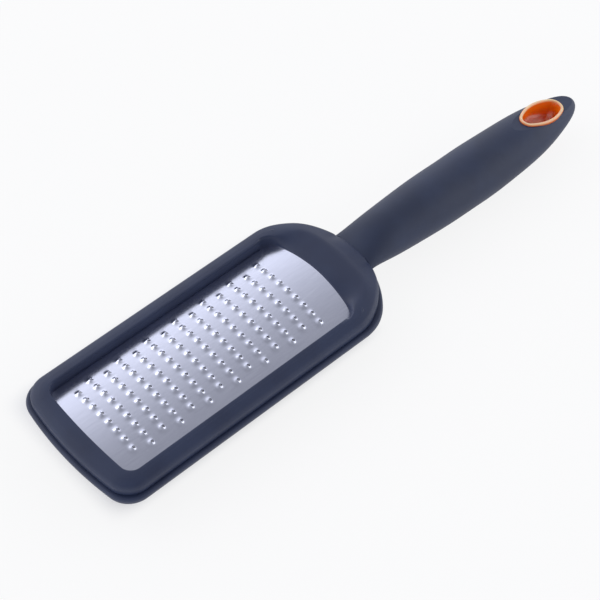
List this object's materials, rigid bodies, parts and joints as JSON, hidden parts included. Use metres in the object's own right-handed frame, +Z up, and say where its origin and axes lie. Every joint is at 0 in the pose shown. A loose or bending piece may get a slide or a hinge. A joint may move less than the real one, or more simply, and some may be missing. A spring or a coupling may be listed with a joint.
{
  "type": "rasp zester",
  "caption": "Paddle-shaped rasp zester: an arched steel grating plate in a two-part moulded frame, with a long rounded handle and a lined hanging hole.",
  "frame": {"origin": "middle of the plan's bounding box, on the plane that the handle's belly touches", "axes": "+X from the head's front end to the handle's end, +Y to the left of someone who looks along +X, +Z up, the way the teeth point"},
  "size_m": [0.2936, 0.0724, 0.0257],
  "materials": {
    "frame_plastic": "satin slate",
    "plate_steel": "satin stainless",
    "grip_rubber": "soft-touch slate",
    "liner_plastic": "gloss orange"
  },
  "bodies": {
    "root": {"upper_frame": "frame_plastic", "lower_frame": "frame_plastic", "grating_plate": "plate_steel", "handle_grip": "grip_rubber", "hole_liner": "liner_plastic"}
  },
  "joints": []
}
